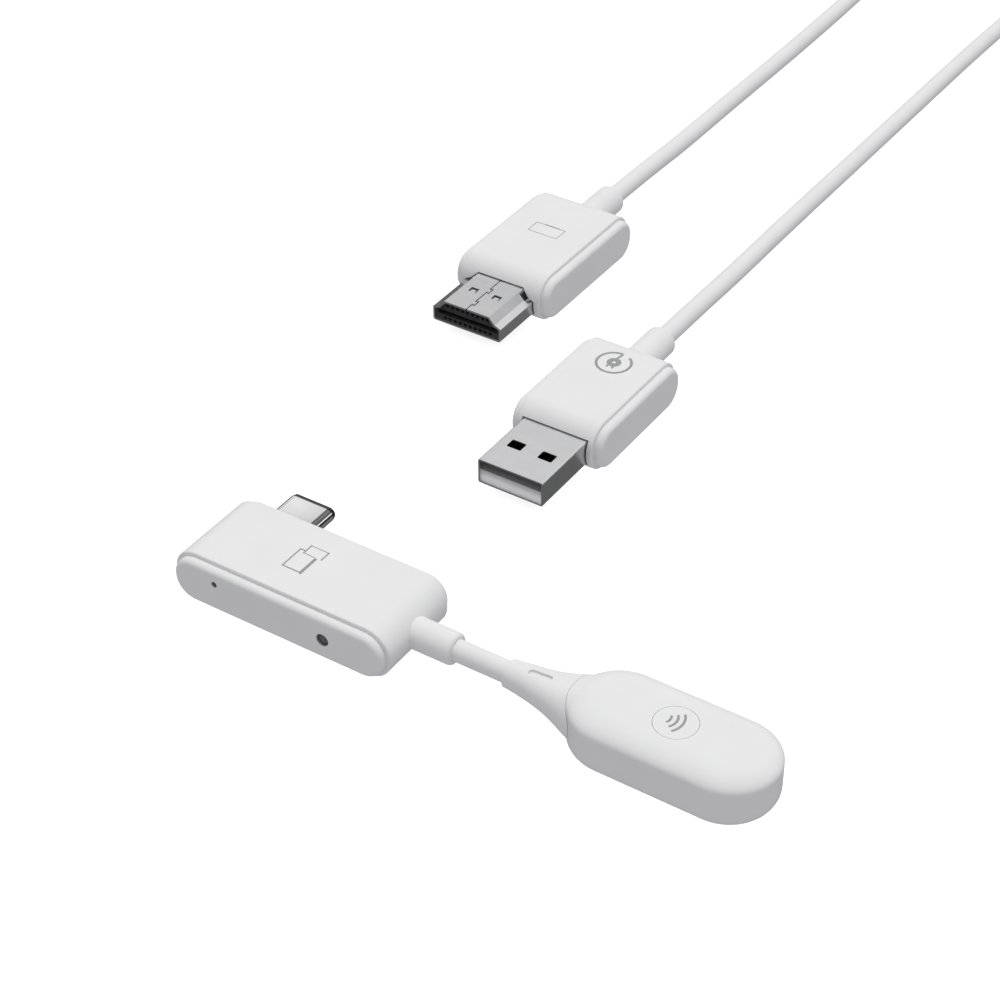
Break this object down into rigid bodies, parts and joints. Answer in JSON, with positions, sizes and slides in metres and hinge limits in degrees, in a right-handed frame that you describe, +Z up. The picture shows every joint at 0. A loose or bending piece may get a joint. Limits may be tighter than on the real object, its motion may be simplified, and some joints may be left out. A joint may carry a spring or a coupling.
{
  "type": "wireless display transmitter and receiver set",
  "caption": "White screen-mirroring set: flat USB-C dongle with a button pod on a short lead, and a receiver with HDMI and USB-A heads on thin leads.",
  "frame": {"origin": "middle of the bottom of the box round both halves of the set without the free leads, on the surface they lie on", "axes": "+Z up from the resting surface; +Y from the USB-A and HDMI plugs towards the receiver pod, the way the leads run; +X from the dongle towards the button pod"},
  "size_m": [0.1098, 0.3735, 0.0088],
  "materials": {
    "white_plastic": "fine satin moulded ABS",
    "lead_jacket": "soft matte TPE",
    "plug_steel": "nickel-plated sheet",
    "contact_gold": "gold flash",
    "black_plastic": "moulded, matte",
    "tongue_plastic": "moulded, matte",
    "circuit_board": "solder mask",
    "tinned_can": "tinned sheet",
    "core_copper": "drawn copper",
    "lamp": "clear epoxy",
    "lens": "smoked light pipe",
    "tie": "woven hook-and-loop"
  },
  "bodies": {
    "transmitter": {"dongle_band": "white_plastic", "dongle_front_cap": "white_plastic", "dongle_rear_cap": "white_plastic", "usb_c_shell": "plug_steel", "usb_c_insulator": "black_plastic", "usb_c_contacts": "contact_gold", "usb_c_latches": "plug_steel", "dongle_board": "circuit_board", "dongle_video_chip": "black_plastic", "dongle_shield_can": "tinned_can", "dongle_small_parts": "black_plastic", "status_lamp": "lamp", "lamp_lens": "lens", "reset_switch": "black_plastic", "dongle_lead_sleeve": "lead_jacket"},
    "reset_plunger": {"reset_plunger": "black_plastic"},
    "antenna_pod": {"pod_lead_jacket": "lead_jacket", "pod_lead_cores": "core_copper", "pod_neck": "lead_jacket", "pod_upper_shell": "white_plastic", "pod_base": "white_plastic", "pod_board": "circuit_board", "pod_radio_can": "tinned_can", "pod_antenna": "black_plastic", "pod_switch": "black_plastic"},
    "pod_button": {"pod_button": "white_plastic", "pod_switch_plunger": "black_plastic"},
    "receiver": {"usb_band": "white_plastic", "usb_left_cap": "white_plastic", "usb_right_cap": "white_plastic", "usb_plug_shell": "plug_steel", "usb_tongue": "tongue_plastic", "usb_contacts": "contact_gold", "usb_board": "circuit_board", "usb_power_parts": "black_plastic", "usb_lead_sleeve": "lead_jacket", "hdmi_band": "white_plastic", "hdmi_left_cap": "white_plastic", "hdmi_right_cap": "white_plastic", "hdmi_plug_shell": "plug_steel", "hdmi_insulator": "black_plastic", "hdmi_contacts": "contact_gold", "hdmi_board": "circuit_board", "hdmi_signal_chip": "black_plastic", "hdmi_lead_sleeve": "lead_jacket", "rx_base": "white_plastic", "rx_upper_shell": "white_plastic", "rx_hdmi_sleeve": "lead_jacket", "rx_power_sleeve": "lead_jacket", "rx_board": "circuit_board", "rx_video_chip": "black_plastic", "rx_radio_can": "tinned_can", "rx_antenna": "black_plastic", "hdmi_lead": "lead_jacket", "usb_lead": "lead_jacket", "usb_lead_tail": "lead_jacket", "usb_lead_coil": "lead_jacket", "usb_lead_tie": "tie"}
  },
  "joints": [
    {"name": "reset_press", "type": "slide", "parent": "transmitter", "child": "reset_plunger", "axis": [0, 1, 0], "range_m": [0, 0.00025], "stiffness_N_per_m": 300},
    {"name": "pod_lead_flex", "type": "hinge", "parent": "transmitter", "child": "antenna_pod", "pos_m": [0.00788, -0.15448, 0.0044], "axis": [0, 0, 1], "range_deg": [-35, 35], "deforming": ["pod_lead_jacket", "pod_lead_cores"]},
    {"name": "pod_button_press", "type": "slide", "parent": "antenna_pod", "child": "pod_button", "axis": [0, 0, -1], "range_m": [0, 0.00035], "stiffness_N_per_m": 500},
    {"name": "receiver_apart", "type": "slide", "parent": "transmitter", "child": "receiver", "axis": [0, 1, 0], "range_m": [0, 0.05]}
  ]
}
